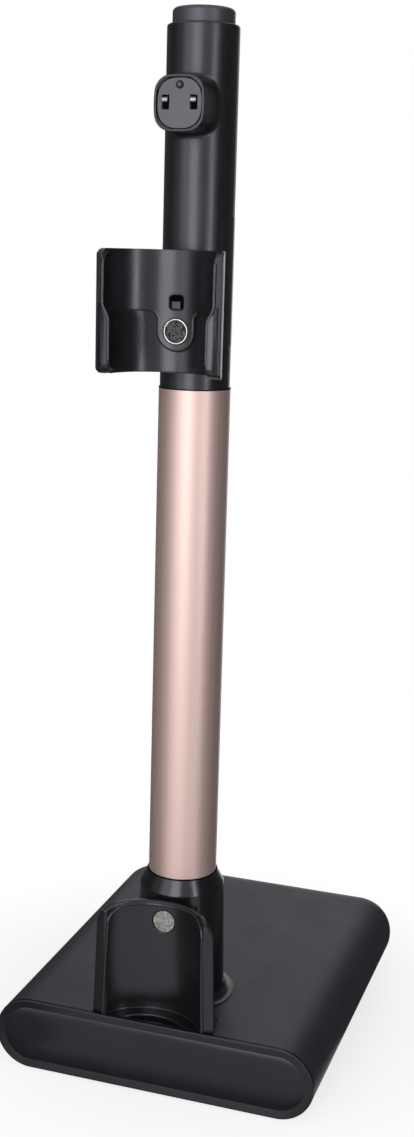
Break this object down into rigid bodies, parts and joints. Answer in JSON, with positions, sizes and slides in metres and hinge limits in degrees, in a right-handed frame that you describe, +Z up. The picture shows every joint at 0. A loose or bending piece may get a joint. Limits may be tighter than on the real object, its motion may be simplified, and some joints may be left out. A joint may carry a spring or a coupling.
{
  "type": "charging stand for a cordless stick vacuum",
  "caption": "Floor-standing charging stand for a cordless stick vacuum: weighted rounded base, tube post, charging housing with sprung contacts, upper saddle cradle and lower trough cradle.",
  "frame": {"origin": "centre of the bounding box on the floor", "axes": "+Z up along the post, -Y to the front where the cradles open, +X to the right when looking at that front"},
  "size_m": [0.293, 0.3692, 0.9086],
  "materials": {
    "dark_plastic": "satin black",
    "grey_plastic": "dark grey",
    "rose_gold": "rose-gold satin anodised",
    "magnet_nickel": "nickel plated",
    "contact_metal": "bright nickel",
    "screw_steel": "zinc plated",
    "ballast_steel": "plain steel plate",
    "foot_rubber": "soft black",
    "lead_rubber": "black jacket",
    "board_laminate": "green laminate"
  },
  "bodies": {
    "stand": {"base_cover": "dark_plastic", "base_tray": "dark_plastic", "base_front_cover": "dark_plastic", "ballast_plate": "ballast_steel", "rubber_feet": "foot_rubber", "base_screws": "screw_steel", "socket_screws": "screw_steel", "post_socket": "dark_plastic", "lower_cradle": "dark_plastic", "lower_cradle_screws": "screw_steel", "lower_magnet": "magnet_nickel", "post_tube": "rose_gold", "tube_lock_screw": "screw_steel", "joint_sleeve": "dark_plastic", "sleeve_screw": "screw_steel", "housing_front": "dark_plastic", "housing_rear": "dark_plastic", "housing_screws": "screw_steel", "top_cap": "grey_plastic", "upper_cradle": "dark_plastic", "upper_cradle_screws": "screw_steel", "upper_magnet": "magnet_nickel", "catch_spring": "screw_steel", "contact_plate": "grey_plastic", "contact_block": "dark_plastic", "contact_board": "board_laminate", "contact_spring_left": "screw_steel", "contact_spring_right": "screw_steel", "plunger_spring": "screw_steel", "power_lead": "lead_rubber", "dc_jack": "grey_plastic"},
    "left_contact": {"contact_left": "contact_metal"},
    "right_contact": {"contact_right": "contact_metal"},
    "plunger": {"dock_plunger": "grey_plastic"},
    "catch": {"cradle_catch": "dark_plastic"}
  },
  "joints": [
    {"name": "left_contact_press", "type": "slide", "parent": "stand", "child": "left_contact", "axis": [0, 1, 0], "range_m": [0, 0.0018], "stiffness_N_per_m": 120, "deforming": ["contact_spring_left"]},
    {"name": "right_contact_press", "type": "slide", "parent": "stand", "child": "right_contact", "axis": [0, 1, 0], "range_m": [0, 0.0018], "stiffness_N_per_m": 120, "deforming": ["contact_spring_right"]},
    {"name": "plunger_press", "type": "slide", "parent": "stand", "child": "plunger", "axis": [0, 1, 0], "range_m": [0, 0.0024], "stiffness_N_per_m": 100, "deforming": ["plunger_spring"]},
    {"name": "catch_press", "type": "slide", "parent": "stand", "child": "catch", "axis": [0, 1, 0], "range_m": [0, 0.004], "stiffness_N_per_m": 200, "deforming": ["catch_spring"]}
  ]
}
